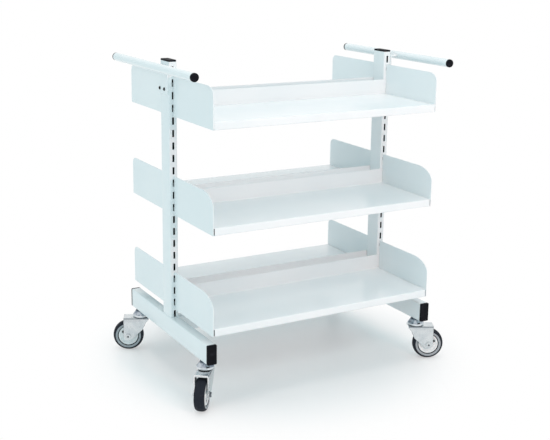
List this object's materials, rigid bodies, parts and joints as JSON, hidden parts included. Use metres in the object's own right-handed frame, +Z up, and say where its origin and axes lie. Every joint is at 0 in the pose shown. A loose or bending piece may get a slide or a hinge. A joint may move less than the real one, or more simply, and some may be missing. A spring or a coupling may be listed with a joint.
{
  "type": "book trolley",
  "caption": "Double-sided library book trolley: slotted uprights on swivel castors carry hook-in brackets with folded steel shelves, and a push tube stands out at each end.",
  "frame": {"origin": "on the floor under the middle of the trolley", "axes": "+X along the shelves towards the right-hand end frame, -Y towards the front shelves, +Z up"},
  "size_m": [0.9384, 0.644, 0.9906],
  "materials": {
    "white_powder_coat": "smooth glossy white powder coat on steel",
    "black_plastic": "satin black moulded plastic",
    "zinc_plate": "bright zinc-plated pressed steel",
    "grey_hub_plastic": "light grey moulded plastic",
    "dark_grey_rubber": "matt dark grey rubber"
  },
  "bodies": {
    "trolley": {"upright_left": "white_powder_coat", "upright_right": "white_powder_coat", "upright_cap_left": "black_plastic", "upright_cap_right": "black_plastic", "foot_beam_left": "white_powder_coat", "foot_beam_right": "white_powder_coat", "foot_cap_left_front": "black_plastic", "foot_cap_left_back": "black_plastic", "foot_cap_right_front": "black_plastic", "foot_cap_right_back": "black_plastic", "cross_rail_bottom": "white_powder_coat", "cross_rail_top": "white_powder_coat", "handle_tube_left": "white_powder_coat", "handle_tube_right": "white_powder_coat", "handle_plate_left": "white_powder_coat", "handle_plate_right": "white_powder_coat", "handle_plug_left_front": "black_plastic", "handle_plug_left_back": "black_plastic", "handle_plug_right_front": "black_plastic", "handle_plug_right_back": "black_plastic", "shelf_bottom_front": "white_powder_coat", "shelf_bottom_back": "white_powder_coat", "shelf_middle_front": "white_powder_coat", "shelf_middle_back": "white_powder_coat", "shelf_top_front": "white_powder_coat", "shelf_top_back": "white_powder_coat", "bracket_bottom_front_left": "white_powder_coat", "bracket_bottom_front_right": "white_powder_coat", "bracket_bottom_back_left": "white_powder_coat", "bracket_bottom_back_right": "white_powder_coat", "bracket_middle_front_left": "white_powder_coat", "bracket_middle_front_right": "white_powder_coat", "bracket_middle_back_left": "white_powder_coat", "bracket_middle_back_right": "white_powder_coat", "bracket_top_front_left": "white_powder_coat", "bracket_top_front_right": "white_powder_coat", "bracket_top_back_left": "white_powder_coat", "bracket_top_back_right": "white_powder_coat", "castor_front_left_head": "zinc_plate", "castor_front_right_head": "zinc_plate", "castor_back_left_head": "zinc_plate", "castor_back_right_head": "zinc_plate"},
    "castor_front_left_swivel": {"castor_front_left_fork": "zinc_plate", "castor_front_left_axle": "zinc_plate"},
    "castor_front_left_wheel": {"castor_front_left_hub": "grey_hub_plastic", "castor_front_left_tyre": "dark_grey_rubber"},
    "castor_front_right_swivel": {"castor_front_right_fork": "zinc_plate", "castor_front_right_axle": "zinc_plate"},
    "castor_front_right_wheel": {"castor_front_right_hub": "grey_hub_plastic", "castor_front_right_tyre": "dark_grey_rubber"},
    "castor_back_left_swivel": {"castor_back_left_fork": "zinc_plate", "castor_back_left_axle": "zinc_plate"},
    "castor_back_left_wheel": {"castor_back_left_hub": "grey_hub_plastic", "castor_back_left_tyre": "dark_grey_rubber"},
    "castor_back_right_swivel": {"castor_back_right_fork": "zinc_plate", "castor_back_right_axle": "zinc_plate"},
    "castor_back_right_wheel": {"castor_back_right_hub": "grey_hub_plastic", "castor_back_right_tyre": "dark_grey_rubber"}
  },
  "joints": [
    {"name": "swivel_front_left", "type": "hinge", "parent": "trolley", "child": "castor_front_left_swivel", "pos_m": [-0.383, -0.244, 0.11], "axis": [0, 0, 1], "continuous": true},
    {"name": "wheel_front_left", "type": "hinge", "parent": "castor_front_left_swivel", "child": "castor_front_left_wheel", "pos_m": [-0.40943, -0.27664, 0.05], "axis": [0.7771, -0.6293, 0], "continuous": true},
    {"name": "swivel_front_right", "type": "hinge", "parent": "trolley", "child": "castor_front_right_swivel", "pos_m": [0.383, -0.244, 0.11], "axis": [0, 0, 1], "continuous": true},
    {"name": "wheel_front_right", "type": "hinge", "parent": "castor_front_right_swivel", "child": "castor_front_right_wheel", "pos_m": [0.42042, -0.26307, 0.05], "axis": [0.454, 0.891, 0], "continuous": true},
    {"name": "swivel_back_left", "type": "hinge", "parent": "trolley", "child": "castor_back_left_swivel", "pos_m": [-0.383, 0.244, 0.11], "axis": [0, 0, 1], "continuous": true},
    {"name": "wheel_back_left", "type": "hinge", "parent": "castor_back_left_swivel", "child": "castor_back_left_wheel", "pos_m": [-0.42042, 0.26307, 0.05], "axis": [-0.454, -0.891, 0], "continuous": true},
    {"name": "swivel_back_right", "type": "hinge", "parent": "trolley", "child": "castor_back_right_swivel", "pos_m": [0.383, 0.244, 0.11], "axis": [0, 0, 1], "continuous": true},
    {"name": "wheel_back_right", "type": "hinge", "parent": "castor_back_right_swivel", "child": "castor_back_right_wheel", "pos_m": [0.40943, 0.27664, 0.05], "axis": [-0.7771, 0.6293, 0], "continuous": true}
  ]
}
